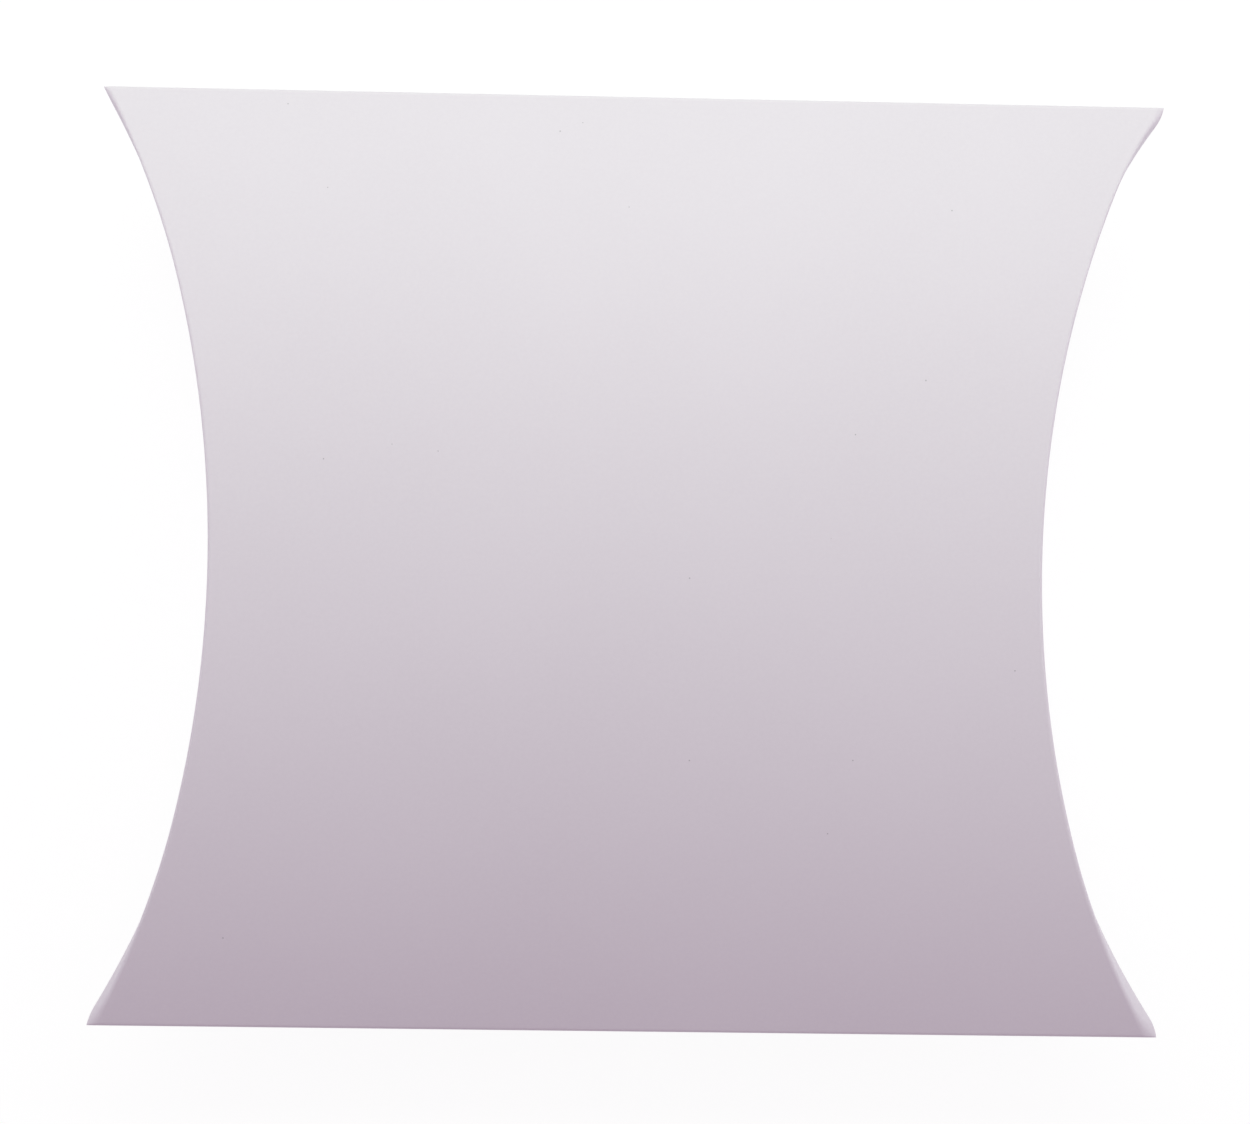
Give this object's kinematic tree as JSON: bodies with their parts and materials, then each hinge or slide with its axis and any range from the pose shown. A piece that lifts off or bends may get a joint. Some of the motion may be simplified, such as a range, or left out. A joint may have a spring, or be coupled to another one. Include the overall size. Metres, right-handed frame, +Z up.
{
  "type": "pillow box",
  "caption": "Pillow-shaped gift box of folded pearl card: bowed panels, a glued side seam and curved end flaps that tuck shut with thumb notches.",
  "frame": {"origin": "under the middle of the box, on the surface that the back panel's crown rests on", "axes": "+X along the box towards the right end flaps, +Y across it towards the plain side fold, +Z up through the front panel"},
  "size_m": [0.1164, 0.102, 0.0254],
  "materials": {
    "pearl_card": "satin",
    "pearl_card_fold": "satin",
    "pearl_card_flap": "satin",
    "pearl_card_tab": "satin",
    "glue": "satin"
  },
  "bodies": {
    "box": {"front_panel": "pearl_card", "back_panel": "pearl_card", "side_fold": "pearl_card_fold", "seam_fold": "pearl_card_fold", "glue_tab": "pearl_card_tab", "front_right_crease": "pearl_card_fold", "front_left_crease": "pearl_card_fold", "back_right_crease": "pearl_card_fold", "back_left_crease": "pearl_card_fold", "glue_line": "glue"},
    "right_outer": {"right_outer_flap": "pearl_card_flap"},
    "right_inner": {"right_inner_flap": "pearl_card_flap"},
    "left_outer": {"left_outer_flap": "pearl_card_flap"},
    "left_inner": {"left_inner_flap": "pearl_card_flap"}
  },
  "joints": [
    {"name": "right_outer_hinge", "type": "hinge", "parent": "box", "child": "right_outer", "pos_m": [0.04479, 0, 0.0254], "axis": [0, -1, 0], "range_deg": [0, 90]},
    {"name": "right_inner_hinge", "type": "hinge", "parent": "box", "child": "right_inner", "pos_m": [0.04419, 0, 0], "axis": [0, 1, 0], "range_deg": [0, 45]},
    {"name": "left_outer_hinge", "type": "hinge", "parent": "box", "child": "left_outer", "pos_m": [-0.04479, 0, 0.0254], "axis": [0, 1, 0], "range_deg": [0, 90]},
    {"name": "left_inner_hinge", "type": "hinge", "parent": "box", "child": "left_inner", "pos_m": [-0.04419, 0, 0], "axis": [0, -1, 0], "range_deg": [0, 45]}
  ],
  "couplings": [
    {"joint": "right_inner_hinge", "follows": "right_outer_hinge", "ratio": 0.5},
    {"joint": "left_inner_hinge", "follows": "left_outer_hinge", "ratio": 0.5}
  ]
}
